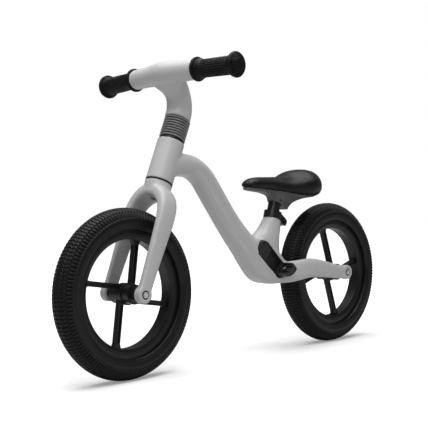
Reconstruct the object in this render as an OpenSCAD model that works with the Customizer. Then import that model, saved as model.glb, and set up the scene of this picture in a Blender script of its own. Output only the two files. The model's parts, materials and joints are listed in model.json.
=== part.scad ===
// Balance bike for small children: a cast frame with fold-out footrests, a cast fork and
// handlebar stem, two spoked wheels with air tyres, and a saddle on a sliding seat post.
// +X is forward, +Y is the bike's left and +Z is up. The origin is on the ground, midway
// between the axles.

/* [Wheels] */
// Distance between the two axles
wheelbase = 580; // [570:2:600]
// Outside diameter of the tyres
tyre_d = 300; // [296:1:302]
// Width of the tyres
tyre_w = 52; // [46:1:54]
// Diameter over the rim flanges
rim_d = 224; // [220:1:226]
// Inside diameter of the rims
rim_inner_d = 190; // [184:1:192]
// Width over the rim flanges
rim_w = 30; // [28:1:32]
// Number of spokes in each wheel
spokes = 4; // [3:1:6]
// Width of a spoke, seen from the side of the bike
spoke_w = 9.5; // [8:0.5:11]
// Depth of a spoke along the axle
spoke_t = 10.5; // [9:0.5:12]
// Distance that each spoke stands off the wheel's centre
spoke_off = 11; // [9:0.5:12]
// Turn of the rear wheel's spokes against those of the front wheel
rear_turn = 17; // [9:1:20]
// Turn of the front wheel, degrees
front_turn = 9; // [5:1:14]

/* [Hubs and axles] */
// Diameter of the hub barrel
hub_d = 35; // [33:0.5:37]
// Length of the hub barrel
hub_len = 50; // [46:1:54]
// Diameter of the axle tubes
axle_d = 12; // [11.5:0.1:12.5]
// Clear width between the fork blades and between the chainstays, at the axle
dropout_gap = 78; // [76:1:80]
// Thickness of a fork blade or chainstay at the axle
dropout_t = 14; // [12:1:15]
// Shank diameter of the axle bolts
axle_bolt_d = 6; // [5:0.5:7]

/* [Steering] */
// Angle by which the steering axis leans back
head_angle = 24; // [22:0.5:25]
// Outside diameter of the head tube
head_d = 50; // [49:0.5:52]
// Distance from the axle to the bottom of the head tube, along the steering axis
head_low = 213; // [212:0.5:215]
// Length of the head tube
head_len = 80; // [78:0.5:82]
// Diameter of the steerer tube
steerer_d = 28.6; // [28:0.1:29]
// Largest steering angle to each side
steer_limit = 40; // [30:1:45]
// Outside diameter of the ribbed collar
collar_d = 47; // [46:0.5:48]
// Number of ribs on the collar
collar_ribs = 8; // [6:1:9]

/* [Handlebar] */
// Angle by which each side of the handlebar sweeps back
bar_sweep = 4; // [2:0.5:6]
// Angle by which each side of the handlebar drops
bar_drop = 1.5; // [0:0.5:3]
// Diameter of the handlebar tubes
bar_d = 22.2; // [21:0.1:23]
// Distance from the middle plane to the inner end of a grip
grip_start = 80.5; // [78:0.5:84]
// Length of a grip
grip_len = 96; // [90:1:104]
// Diameter of a grip where the hand holds it
grip_d = 29; // [28:0.5:31]
// Diameter of the ball at a grip's end
grip_ball_d = 41.6; // [38:0.2:43]

/* [Seat] */
// Angle by which the seat post leans back
seat_lean = 17; // [15:0.5:19]
// Diameter of the seat post
post_d = 25.4; // [25:0.1:25.6]
// Distance that the seat post can be raised
post_travel = 50; // [30:1:60]
// Outside diameter of the seat clamp
clamp_d = 36.4; // [35.6:0.2:38]

/* [Footrests] */
// Angle of the footrest trays to the ground
tray_angle = 44.2; // [42:0.2:47]
// Width of a footrest tray
tray_w = 34; // [32:0.5:35]
// Distance between the centres of a tray's round ends
tray_len = 61; // [58:1:64]
// Distance from the middle plane to a tray's face
tray_face = 25; // [24.5:0.5:26]
// Reach of a footrest from its hinge to its tip
peg_len = 42; // [38:1:44]
// Thickness of a footrest
peg_t = 9.6; // [9:0.1:9.8]

/* [Fits] */
// Radial clearance of a shaft that turns or slides
run_fit = 0.06; // [0.02:0.01:0.1]
// Radial clearance of a part that is pressed or bolted in
seat_fit = 0.03; // [0.01:0.01:0.06]
// Gap between pieces that move past each other
gap = 0.3; // [0.3:0.05:0.4]

/* [Hidden] */
$fn = 48;
silver_paint = [0.66, 0.67, 0.68];
black_plastic = [0.05, 0.05, 0.055];
dark_grey = [0.25, 0.25, 0.26];
rubber = [0.09, 0.09, 0.095];
steel = [0.72, 0.73, 0.75];

axle_h = tyre_d / 2;
front_x = wheelbase / 2;
rear_x = -wheelbase / 2;
stretch = (wheelbase - 580) / 2;
lift = axle_h - 150;
dropout_in = dropout_gap / 2;
dropout_out = dropout_in + dropout_t;
dropout_r = 15;
bolt_hole_r = axle_bolt_d / 2 + 0.2;

bearing_r = 14;
bearing_t = 8;
hub_bore_r = 11;
rim_r = rim_d / 2;
rim_inner_r = rim_inner_d / 2;
bead_r = rim_r - 10.5;
flange_t = 2.5;
tyre_wall = 4.5;
tyre_mid_r = (tyre_d / 2 + rim_r - 12) / 2;
tyre_half_h = tyre_d / 2 - tyre_mid_r;
valve_r = 4;
valve_tip_r = rim_inner_r - 22;
front_valve_at = 148;
rear_valve_at = 12;
spacer_r = 9.5;
washer_r = 7.8;
washer_t = 1.2;
axle_head_r = 5.4;
axle_head_h = 3.3;

head_top = head_low + head_len;
headset_r = 20.9;
headset_t = 7;
headset_depth = 7.6;
steerer_r = steerer_d / 2;
steerer_low = head_low - 23;
steerer_high = head_top + 71;
steerer_plug = 16;
steerer_wall = 2.5;
crown_top = head_low - gap - 2;
crown_seat = steerer_low - 3.5;
crown_bolt_r = 4;
crown_head_r = 6.5;
crown_head_h = 6;
locknut_w = 33;
limiter_t = 3.5;
limiter_r = 23.4;
lug_in = 21.2;
lug_half = 5;
collar_low = head_top + gap + limiter_t;
collar_high = head_top + 45.5;
collar_in = 20;

bar_centre = [front_x - 104.5, 0, axle_h + 392];
bar_r = bar_d / 2;
screw_r = 2.5;
stem_screw_z = [collar_high + 8, collar_high + 19];
bar_screw_at = 34;
tube_start = 22;
end_gap = 0.1;
tube_end = grip_start + grip_len - 5;

seat_top = [-106 - stretch, 0, 270 + lift];
neck_r = 15.2;
neck_h = 15;
post_r = post_d / 2;
post_depth = 92;
post_rise = 46;
saddle_bolt_z = 40;
base_low = 33;
base_tilt = 8.4;
clamp_slot = 3;
clamp_bolt_r = 2.5;
clamp_bolt_at = [-30.5, 0, 2.5];

tray_r = tray_w / 2;
tray_low = [-96.8 - stretch, 0, 168 + lift];
tray_back = post_r + 2.7;
tray_depth = tray_face - tray_back;
tray_rim = 1.6;
pocket_fit = 0.12;
tray_floor = 1.5;
tray_lip = 2.2;
tray_screw_x = 52;
tray_screw_r = 1.6;
tray_head_r = 3;
peg_r = peg_t / 2;
hinge_z = tray_floor + gap + peg_r;
peg_w = 2 * (sqrt(pow(tray_r - tray_rim, 2) - pow(peg_r, 2)) - gap);
pin_r = 2;
peg_screw_at = 18;
peg_hollow = 3.6;
peg_head_r = 3.4;
peg_shank_r = 1.6;
ring_steps = 32;

// Moves a row of numbers or of vectors along a smooth curve through four neighbours
function between(a, b, c, d, t) =
    0.5 * (2 * b + (c - a) * t + (2 * a - 5 * b + 4 * c - d) * t * t
        + (3 * b - a - 3 * c + d) * t * t * t);

// Adds rows between the given ones, so that a loft through few rows is smooth
function smooth(rows, steps) =
    let (last = len(rows) - 1)
    [for (i = [0:last - 1], k = [0:steps - 1])
        between(rows[max(i - 1, 0)], rows[i], rows[i + 1], rows[min(i + 2, last)], k / steps),
        rows[last]];

function power(v, n) = sign(v) * pow(abs(v), 2 / n);

// A closed ring about a centre, from its two half axes, its squareness and its side flute
function oval(row, steps = ring_steps) =
    [for (k = [0:steps - 1])
        let (a = 360 * k / steps, u = power(cos(a), row[3]), v = power(sin(a), row[3]))
        row[0] + u * (1 - row[4] * exp(-pow((v - row[5]) / 0.3, 2))) * row[1] + v * row[2]];

// A row of a loft whose section stands across the middle plane between two points
function rib(top, low, half_w, n = 2.3, flute = 0, flute_at = -0.15) =
    [[(top[0] + low[0]) / 2, 0, (top[1] + low[1]) / 2], [0, half_w, 0],
        [(top[0] - low[0]) / 2, 0, (top[1] - low[1]) / 2], n, flute, flute_at];

// A place on the frame in a bike of 580 mm wheelbase: the ends follow their axles
function at(x, z) = [x + stretch * max(-1, min(1, (x + 20) / 110)), z + lift];

function middle(points) = [for (i = [0:2]) let (v = [for (p = points) p[i]]) (min(v) + max(v)) / 2];

// A solid skin over rings that all have the same number of points
module skin(rings) {
    n = len(rings[0]);
    m = len(rings);
    start = middle(rings[0]);
    turn = cross(rings[0][0] - start, rings[0][round(n / 4)] - start) * (middle(rings[1]) - start);
    sides = [for (j = [0:m - 2], i = [0:n - 1])
        let (a = j * n + i, b = j * n + (i + 1) % n)
        each [[a, a + n, b + n], [a, b + n, b]]];
    caps = [[for (i = [0:n - 1]) i], [for (i = [n - 1:-1:0]) (m - 1) * n + i]];
    faces = concat(caps, sides);
    polyhedron([for (r = rings) each r],
        turn > 0 ? faces : [for (f = faces) [for (i = [len(f) - 1:-1:0]) f[i]]], convexity = 8);
}

module ring(outer, inner, h) {
    difference() {
        cylinder(r = outer, h = h);
        translate([0, 0, -1]) cylinder(r = inner, h = h + 2);
    }
}

// The steering axis is this frame's Z, from the front axle upwards
module on_steering() {
    translate([front_x, 0, axle_h]) rotate([0, -head_angle, 0]) children();
}

// A wheel's own frame: its face is drawn in X and Y as seen from the right
module on_axle(x) {
    translate([x, 0, axle_h]) rotate([90, 0, 0]) children();
}

module on_bar(side) {
    mirror([0, side < 0 ? 1 : 0, 0]) translate(bar_centre) rotate([0, 0, bar_sweep])
        rotate([-90 - bar_drop, 0, 0]) children();
}

module on_seat() {
    translate(seat_top) rotate([0, -seat_lean, 0]) children();
}

// A tray's own frame: X up the slope and Z outwards, from the back of the tray
module on_tray(side) {
    mirror([0, side < 0 ? 1 : 0, 0]) translate(tray_low + [0, tray_back, 0])
        rotate([0, -tray_angle, 0]) rotate([-90, 0, 0]) children();
}

// ---- Frame ----

module main_tube() {
    rows = [
        rib(at(165, 394), at(184, 356), 21),
        rib(at(128, 395.5), at(152, 356), 20.5, 2.3, 0.02),
        rib(at(100, 385), at(134, 352.5), 20.5, 2.3, 0.08),
        rib(at(77, 367.5), at(115, 341), 20.5, 2.3, 0.14),
        rib(at(57.5, 345), at(100, 321.5), 20.5, 2.3, 0.16),
        rib(at(20, 295), at(59, 267.5), 21, 2.3, 0.16),
        rib(at(-9.5, 261.5), at(30, 232), 22, 2.4, 0.15),
        rib(at(-38, 237), at(0, 198), 23.5, 2.7, 0.12, -0.3),
        rib(at(-62, 234), at(-24, 169), 24.8, 3.4, 0.1, -0.55),
        rib(at(-86, 224), at(-42, 152), 25.5, 4, 0.06, -0.75),
        rib(at(-104, 207), at(-62, 142.5), 26.5, 4),
        rib(at(-118, 190), at(-92, 138), 28, 3.6),
        rib(at(-131, 181.5), at(-124, 139), 32, 3)];
    skin([for (r = smooth(rows, 2)) oval(r)]);
}

module seat_tube() {
    rows = [
        rib(at(-90, 275), at(-122.5, 265), 17.2),
        rib(at(-79, 263), at(-122, 250), 18),
        rib(at(-68, 251), at(-119, 238), 19.5),
        rib(at(-51, 238), at(-117, 225), 21.5),
        rib(at(-42, 222), at(-116, 207), 23),
        rib(at(-45, 200), at(-118, 189), 25),
        rib(at(-62, 178), at(-126, 168), 27)];
    skin([for (r = smooth(rows, 2)) oval(r)]);
}

// One chainstay's row: where it is, and half its thickness and height
function stay(dx, y, z, half_t, half_h) =
    [[rear_x + dx, y, z + lift], [0, half_t, 0], [0, 0, half_h], 2.8, 0, 0];

module chainstay() {
    rows = [
        stay(215, 11, 163, 11, 19),
        stay(190, 17.5, 161, 11.5, 21.5),
        stay(166, 28, 161.2, 11, 21.6),
        stay(145, 38.5, 164, 9.7, 20.8),
        stay(124, 44.2, 166.8, 8.8, 19.8),
        stay(95, 46, 164.5, 8, 18.6),
        stay(58, 46, 158.5, 7.6, 16.5),
        stay(25, 46, 152.5, 7, 14.6),
        stay(0, 46, 150, 6.9, 13.4)];
    skin([for (r = smooth(rows, 2)) oval(r, 24)]);
}

module frame_skin() {
    main_tube();
    seat_tube();
    chainstay();
    mirror([0, 1, 0]) chainstay();
}

module frame_bosses() {
    on_steering() translate([0, 0, head_low]) cylinder(r = head_d / 2, h = head_len);
    on_seat() translate([0, 0, -8]) cylinder(r = neck_r, h = neck_h + 8);
    for (side = [-1, 1]) {
        on_axle(rear_x) translate([0, 0, side * (dropout_in + dropout_t / 2)])
            cylinder(r = dropout_r, h = dropout_t, center = true);
    }
}

module tray_shape(r) {
    circle(r = r);
    translate([0, -r]) square([tray_len, 2 * r]);
    translate([tray_len, 0]) circle(r = r);
}

module headset_bores() {
    translate([0, 0, head_low - 1]) cylinder(r = steerer_r + 3, h = head_len + 2);
    translate([0, 0, head_low - 1]) cylinder(r = headset_r + seat_fit, h = headset_depth + 1);
    translate([0, 0, head_top - headset_depth])
        cylinder(r = headset_r + seat_fit, h = headset_depth + 1);
    translate([0, 0, head_top - 4.5]) rotate([0, 0, 180 - steer_limit - lug_half - 1])
        rotate_extrude(angle = 2 * (steer_limit + lug_half + 1))
            translate([headset_r - 0.5, 0]) square([limiter_r + gap - headset_r + 0.5, 6]);
}

module frame() {
    color(silver_paint) difference() {
        union() {
            frame_skin();
            frame_bosses();
        }
        on_steering() headset_bores();
        on_seat() {
            translate([0, 0, -post_depth - 4])
                cylinder(r = post_r + run_fit, h = post_depth + neck_h + 30);
            translate([-neck_r - 3, -1.5, -5]) cube([neck_r, 3, neck_h + 6]);
        }
        on_axle(rear_x) cylinder(r = bolt_hole_r, h = 2 * dropout_out + 20, center = true);
        for (side = [-1, 1]) {
            on_tray(side) {
                linear_extrude(tray_depth + 20) tray_shape(tray_r + pocket_fit);
                translate([tray_screw_x, 0, -7.5]) cylinder(r = tray_screw_r + seat_fit, h = 10);
            }
        }
    }
}

// ---- Headset and fork ----

module headset_bearing(z) {
    color(steel) on_steering() translate([0, 0, z]) ring(headset_r, steerer_r + run_fit, headset_t);
}

module headset_seal() {
    color(black_plastic) on_steering() translate([0, 0, crown_top])
        ring(head_d / 2 + 0.3, steerer_r + seat_fit, 2);
}

// One row along the fork's arch, from its place, its slope, half its thickness and half its width
function blade(y, z, slope, half_t, half_w, n = 3.2) =
    [[0, y, z], [half_w, 0, 0], half_t * [0, cos(slope), sin(slope)], n, 0, 0];

function other_blade(row) =
    [[0, -row[0][1], row[0][2]], row[1], [0, -row[2][1], row[2][2]], row[3], 0, 0];

function flat_row(z, x, half_x, half_y, n = 2) =
    [[x, 0, z], [half_x, 0, 0], [0, half_y, 0], n, 0, 0];

module fork_arch() {
    y = dropout_in + dropout_t / 2;
    left = [
        blade(y, 0, 0, 6.9, 13.2),
        blade(y, 32, 0, 7, 13.4),
        blade(y, 80, 0, 7.2, 15.5),
        blade(y, 118, 1, 8, 17.4),
        blade(y - 1.5, 145, 8, 9.2, 18.6),
        blade(y - 6.5, 166, 24, 10.5, 19.5),
        blade(y - 17, 181, 46, 12, 20.5),
        blade(y - 31, 190, 70, 13, 22),
        blade(0, 193, 90, 13, 22.5)];
    rows = concat(left, [for (i = [len(left) - 2:-1:0]) other_blade(left[i])]);
    skin([for (r = smooth(rows, 2)) oval(r)]);
}

module fork_neck() {
    rows = [
        flat_row(184, 0, 20, 31, 2.2),
        flat_row(193, 0, 22.5, 30, 2.2),
        flat_row(200, 0, 24, 26.6),
        flat_row(205, 0, 24.6, 25.3),
        flat_row(crown_top, 0, head_d / 2, head_d / 2)];
    skin([for (r = smooth(rows, 2)) oval(r)]);
}

module fork() {
    color(silver_paint) difference() {
        union() {
            on_steering() {
                fork_arch();
                fork_neck();
            }
            for (side = [-1, 1]) {
                on_axle(front_x) translate([0, 0, side * (dropout_in + dropout_t / 2)])
                    cylinder(r = dropout_r, h = dropout_t, center = true);
            }
        }
        on_steering() {
            translate([0, 0, steerer_low]) cylinder(r = steerer_r + seat_fit, h = 40);
            translate([0, 0, crown_seat - 30]) cylinder(r = crown_bolt_r + 0.2, h = 40);
            translate([0, 0, crown_seat - 30]) cylinder(r = crown_head_r + gap, h = 30);
        }
        on_axle(front_x) cylinder(r = bolt_hole_r, h = 2 * dropout_out + 20, center = true);
    }
}

module steerer_tube() {
    color(steel) on_steering() difference() {
        translate([0, 0, steerer_low]) cylinder(r = steerer_r, h = steerer_high - steerer_low);
        translate([0, 0, steerer_low + steerer_plug])
            cylinder(r = steerer_r - steerer_wall, h = steerer_high - steerer_low);
        translate([0, 0, steerer_low - 1]) cylinder(r = crown_bolt_r + seat_fit, h = steerer_plug + 2);
    }
}

// A cap screw along Z: its head's top is at 0 and its shank points up
module cap_screw(head_r, head_h, shank_r, shank_len, socket) {
    difference() {
        union() {
            cylinder(r = head_r, h = head_h);
            cylinder(r = shank_r, h = head_h + shank_len);
        }
        translate([0, 0, -1]) cylinder(r = socket / 2 / cos(30), h = head_h * 0.6 + 1, $fn = 6);
    }
}

module crown_bolt() {
    color(steel) on_steering() translate([0, 0, crown_seat - crown_head_h])
        cap_screw(crown_head_r, crown_head_h, crown_bolt_r, 3.5 + steerer_plug + 3, 6);
}

// The ring that turns with the fork, with the lug that ends the steering at both sides
module steering_limiter() {
    color(black_plastic) on_steering() {
        translate([0, 0, head_top + gap]) ring(limiter_r, steerer_r + seat_fit, limiter_t);
        translate([0, 0, head_top - 3.8]) rotate([0, 0, 180 - lug_half])
            rotate_extrude(angle = 2 * lug_half)
                translate([lug_in, 0]) square([limiter_r - lug_in, 3.8 + gap + 1]);
    }
}

module headset_locknut() {
    color(steel) on_steering() translate([0, 0, collar_low]) difference() {
        cylinder(r = locknut_w / 2 / cos(30), h = 9, $fn = 6);
        translate([0, 0, -1]) cylinder(r = steerer_r + seat_fit, h = 11);
    }
}

module steering_collar() {
    h = collar_high - collar_low;
    pitch = (h - 1.5) / collar_ribs;
    r = collar_d / 2;
    groove = 1.5;
    profile = concat([[collar_in, 0], [r - 0.6, 0], [r - 0.6, 1.2]],
        [for (i = [0:collar_ribs - 1])
            let (z = 1.5 + i * pitch)
            each [[r - groove, z], [r - groove, z + 0.9], [r, z + 1.5], [r, z + pitch - 0.6]]],
        [[r - groove, h], [collar_in, h]]);
    color(rubber) on_steering() translate([0, 0, collar_low]) rotate_extrude() polygon(profile);
}

// ---- Stem and handlebar ----

// A row of the bar sleeve at a distance from the middle plane
function sleeve(y, half_x, half_z, back = 0, up = 0, n = 2) =
    [bar_centre + [-abs(y) * tan(bar_sweep) - back, y, up - abs(y) * tan(bar_drop)],
        [half_x, 0, 0], [0, 0, half_z], n, 0, 0];

// A row of the stem's neck, across the line that leans by an angle from the steering axis
function neck_row(x, z, tilt, half_x, half_y, n = 2.1) =
    [[x, 0, z], half_x * [cos(tilt), 0, sin(tilt)], [0, half_y, 0], n, 0, 0];

module stem_neck() {
    x = front_x - 290;
    z = axle_h - 150;
    base = collar_high + end_gap;
    low = [front_x - base * sin(head_angle), axle_h + base * cos(head_angle)];
    rows = [
        neck_row(low[0], low[1], head_angle, collar_d / 2 - 0.4, collar_d / 2 - 0.4, 2),
        neck_row(x + 147.3, z + 475, 12, 22.6, 22.6),
        neck_row(x + 146.3, z + 490, -2, 22, 22.3),
        neck_row(x + 149, z + 505, -18, 21.5, 22.5),
        neck_row(x + 157, z + 520, -36, 21.5, 25),
        neck_row(x + 170, z + 533, -50, 21.5, 31),
        neck_row(x + 184, z + 542, -58, 18, 38)];
    skin([for (r = smooth(rows, 2)) oval(r)]);
}

module stem_sleeve() {
    right = [
        sleeve(0, 23, 22, 4, 0.5),
        sleeve(14, 22.5, 21.5, 3.5, 0.5),
        sleeve(30, 20.8, 20, 2, 0.2),
        sleeve(48, 19.2, 19),
        sleeve(66, 18.6, 18.6),
        sleeve(grip_start + 2, 18.4, 18.4)];
    left = [for (i = [len(right) - 1:-1:1])
        [[right[i][0][0], -right[i][0][1], right[i][0][2]], each [for (k = [1:5]) right[i][k]]]];
    skin([for (r = smooth(concat(left, right), 2)) oval(r)]);
}

module stem() {
    color(silver_paint) difference() {
        union() {
            stem_neck();
            stem_sleeve();
        }
        on_steering() {
            translate([0, 0, collar_high - 5])
                cylinder(r = steerer_r + seat_fit, h = steerer_high - collar_high + 5.5);
            for (z = stem_screw_z) {
                translate([0, 0, z]) rotate([0, -90, 0]) cylinder(r = screw_r, h = 40);
            }
        }
        for (side = [-1, 1]) {
            on_bar(side) {
                translate([0, 0, grip_start - end_gap]) cylinder(r = 2 * bar_r, h = 20);
                translate([0, 0, tube_start - 0.5]) cylinder(r = bar_r + seat_fit, h = 90);
                translate([0, 0, bar_screw_at]) rotate([-90, 0, 0])
                    cylinder(r = screw_r, h = 40);
            }
        }
    }
}

// A headless screw with a hexagon socket, whose tip is at 0
module grub_screw(len) {
    difference() {
        cylinder(r = screw_r - seat_fit, h = len);
        translate([0, 0, len - 2.5]) cylinder(r = 1.45, h = 3, $fn = 6);
    }
}

module stem_screws() {
    color(dark_grey) on_steering() {
        for (z = stem_screw_z) {
            translate([-steerer_r, 0, z]) rotate([0, -90, 0]) grub_screw(5);
        }
    }
}

module handlebar_screws() {
    color(dark_grey) {
        for (side = [-1, 1]) {
            on_bar(side) translate([0, bar_r, bar_screw_at]) rotate([-90, 0, 0]) grub_screw(6.5);
        }
    }
}

module handlebar_tube(side) {
    color(steel) on_bar(side) translate([0, 0, tube_start])
        ring(bar_r, bar_r - 1.8, tube_end - tube_start);
}

// Half the outline of a grip: flange, waist, hand part, and the rounded ball at its end
module grip(side) {
    r = grip_d / 2;
    ball = grip_ball_d / 2;
    flange = ball - 0.6;
    ball_t = 10.5;
    ball_z = grip_len - ball_t;
    body_end = ball_z - ball_t * 0.72;
    outline = concat([[0, grip_len], [0, grip_len - 3.5], [bar_r - 4, grip_len - 3.5],
        [bar_r - 4, tube_end - grip_start], [bar_r + seat_fit, tube_end - grip_start],
        [bar_r + seat_fit, 0], [flange - 1.2, 0]],
        [for (a = [-60:30:60]) [flange - 2.2 + 2.2 * cos(a), 2.6 + 2.6 * sin(a)]],
        [[r + 3.4, 6.6], [r + 1.4, 9.5], [r, 14], [r + 0.4, body_end - 9], [r + 1.2, body_end - 4]],
        [for (a = [-46:12:74]) [ball * pow(cos(a), 0.8), ball_z + ball_t * sin(a)]],
        [[4, grip_len]]);
    color(rubber) on_bar(side) translate([0, 0, grip_start]) rotate_extrude() polygon(outline);
}

// ---- Wheels ----

module rim() {
    half = rim_w / 2;
    slope = 4;
    side = [
        [rim_inner_r, half - slope],
        [rim_inner_r + 8, half],
        [rim_r, half],
        [rim_r, half - flange_t],
        [bead_r, half - flange_t],
        [bead_r, half - flange_t - 5],
        [bead_r - 2.5, half - flange_t - 6.5]];
    last = len(side) - 1;
    rotate_extrude($fn = 96)
        polygon(concat(side, [for (i = [last:-1:0]) [side[i][0], -side[i][1]]]));
}

module spoke() {
    reach = sqrt(pow(rim_inner_r + 2, 2) - pow(spoke_off, 2));
    groove = spoke_w - 5;
    foot = 9;
    difference() {
        union() {
            translate([0, spoke_off - spoke_w / 2, -spoke_t / 2]) cube([reach, spoke_w, spoke_t]);
            translate([0, 0, -spoke_t / 2]) linear_extrude(spoke_t) polygon([
                [reach - foot - 1, spoke_off - spoke_w / 2],
                [reach + 1, spoke_off - spoke_w / 2 - 4],
                [reach + 1, spoke_off + spoke_w / 2 + 4],
                [reach - foot - 1, spoke_off + spoke_w / 2]]);
        }
        for (face = [-1, 1]) {
            translate([hub_d / 2 + 3, spoke_off - groove / 2, face * spoke_t / 2 - 2.5])
                cube([reach - hub_d / 2 - foot - 4, groove, 5]);
        }
    }
}

module wheel(x, turn, valve_angle) {
    color(black_plastic) on_axle(x) difference() {
        union() {
            intersection() {
                for (i = [0:spokes - 1]) {
                    rotate([0, 0, turn + i * 360 / spokes]) spoke();
                }
                cylinder(r = rim_inner_r + 3, h = rim_w, center = true, $fn = 96);
            }
            rim();
            cylinder(r = hub_d / 2, h = hub_len, center = true);
            cylinder(r = hub_d / 2 + 2, h = spoke_t + 6, center = true);
        }
        cylinder(r = hub_bore_r, h = hub_len + 2, center = true);
        for (face = [-1, 1]) {
            translate([0, 0, face * hub_len / 2])
                cylinder(r = bearing_r + seat_fit, h = 2 * bearing_t, center = true);
        }
        rotate([0, 90, valve_angle]) cylinder(r = valve_r + gap, h = rim_r);
    }
}

// One side of the hollow inside the tyre, from the rim well up to the crown, drawn in by shrink
function cavity(shrink) =
    let (h = tyre_half_h - tyre_wall - shrink, w = tyre_w / 2 - tyre_wall + 0.5 - shrink,
        neck = rim_w / 2 - flange_t - 4.7 - shrink, low = bead_r + 0.2 + shrink)
    concat([[low, neck], [rim_r, neck]],
        [for (a = [-20:11:90]) [tyre_mid_r + h * sin(a), w * cos(a)]]);

// A half outline and its mirror image, joined into one closed outline
function both_sides(half) = concat(half,
    [for (i = [len(half) - 1:-1:0]) if (abs(half[i][1]) > 0.001) [half[i][0], -half[i][1]]]);

module tyre(x) {
    seat = rim_w / 2 - flange_t - 0.2;
    low = rim_r + 0.3;
    start = asin((low - tyre_mid_r) / tyre_half_h);
    outer = [for (i = [0:14]) let (a = start + (90 - start) * i / 14)
        [tyre_mid_r + tyre_half_h * sin(a), tyre_w / 2 * cos(a)]];
    color(rubber) on_axle(x) rotate_extrude($fn = 96) difference() {
        polygon(both_sides(concat([[bead_r + 0.2, seat], [low, seat]], outer)));
        polygon(both_sides(concat([[bead_r - 1, cavity(0)[0][1]]], cavity(0))));
    }
}

module inner_tube(x) {
    wall = 1.2;
    color(rubber) on_axle(x) rotate_extrude($fn = 96) difference() {
        polygon(both_sides(cavity(gap)));
        polygon(both_sides(cavity(gap + wall)));
    }
}

module on_valve(x, angle, r) {
    on_axle(x) rotate([0, 0, angle]) translate([r, 0, 0]) rotate([0, 90, 0]) children();
}

module valve(x, angle) {
    top = bead_r + gap;
    color(steel) {
        on_valve(x, angle, valve_tip_r) cylinder(r = valve_r - 1, h = 10);
        on_valve(x, angle, valve_tip_r + 8) cylinder(r = valve_r, h = top - valve_tip_r - 8);
    }
}

module valve_cap(x, angle) {
    color(black_plastic) on_valve(x, angle, valve_tip_r - 3) difference() {
        cylinder(r = valve_r, h = 10.8);
        translate([0, 0, 3]) cylinder(r = valve_r - 1 + seat_fit, h = 10);
    }
}

module hub_bearings(x) {
    color(steel) on_axle(x) {
        for (face = [-1, 1]) {
            translate([0, 0, face * (hub_len - bearing_t) / 2 - bearing_t / 2])
                ring(bearing_r, axle_d / 2 + run_fit, bearing_t);
        }
    }
}

// The sleeve that keeps the two bearings apart inside the hub
module bearing_spacer(x) {
    color(steel) on_axle(x) translate([0, 0, bearing_t - hub_len / 2])
        ring(axle_d / 2 + 2, axle_d / 2 + run_fit, hub_len - 2 * bearing_t);
}

module axle(x) {
    color(steel) on_axle(x) difference() {
        cylinder(r = axle_d / 2, h = dropout_gap, center = true);
        cylinder(r = axle_bolt_d / 2 + seat_fit, h = dropout_gap + 2, center = true);
    }
}

module axle_spacers(x) {
    len = dropout_in - hub_len / 2 - gap;
    color(black_plastic) on_axle(x) {
        for (face = [-1, 1]) {
            translate([0, 0, face > 0 ? dropout_in - len : -dropout_in])
                ring(spacer_r, axle_d / 2 + seat_fit, len);
        }
    }
}

module axle_washers(x) {
    color(black_plastic) on_axle(x) {
        for (face = [-1, 1]) {
            translate([0, 0, face > 0 ? dropout_out : -dropout_out - washer_t])
                ring(washer_r, bolt_hole_r, washer_t);
        }
    }
}

module axle_bolts(x) {
    color(steel) on_axle(x) {
        for (face = [-1, 1]) {
            rotate([face > 0 ? 180 : 0, 0, 0])
                translate([0, 0, -dropout_out - washer_t - axle_head_h])
                    cap_screw(axle_head_r, axle_head_h, axle_bolt_d / 2, dropout_t + 22, 5);
        }
    }
}

// ---- Seat ----

module seat_clamp() {
    color(black_plastic) on_seat() difference() {
        union() {
            translate([0, 0, gap]) cylinder(r = clamp_d / 2, h = neck_h);
            rotate([90, 0, 0]) linear_extrude(16, center = true) polygon([[-12, 14.5],
                [-20, 15], [-36, 8.5], [-39, 0.5], [-36, -5], [-28, -4.5], [-18.6, 0.5],
                [-12, 0.5]]);
        }
        translate([0, 0, -1]) cylinder(r = neck_r + seat_fit, h = neck_h + 3);
        translate([-50, -clamp_slot / 2, -20]) cube([45, clamp_slot, 40]);
        translate(clamp_bolt_at) rotate([90, 0, 0])
            cylinder(r = clamp_bolt_r + 0.2, h = 40, center = true);
    }
}

module seat_clamp_bolt() {
    color(steel) on_seat() translate(clamp_bolt_at + [0, 8 + 3.5, 0]) rotate([90, 0, 0])
        cap_screw(4.2, 3.5, clamp_bolt_r, 21, 4);
}

module seat_clamp_nut() {
    color(steel) on_seat() translate(clamp_bolt_at - [0, 8, 0]) rotate([90, 0, 0]) difference() {
        cylinder(r = 4 / cos(30), h = 4, $fn = 6);
        translate([0, 0, -1]) cylinder(r = clamp_bolt_r + seat_fit, h = 6);
    }
}

module seat_post() {
    color(black_plastic) on_seat() difference() {
        translate([0, 0, -post_depth]) cylinder(r = post_r, h = post_depth + post_rise);
        translate([0, 0, -post_depth - 1])
            cylinder(r = post_r - 2.2, h = post_depth + post_rise - 3);
        translate([0, 0, saddle_bolt_z]) rotate([90, 0, 0])
            cylinder(r = screw_r, h = 60, center = true);
    }
}

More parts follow.
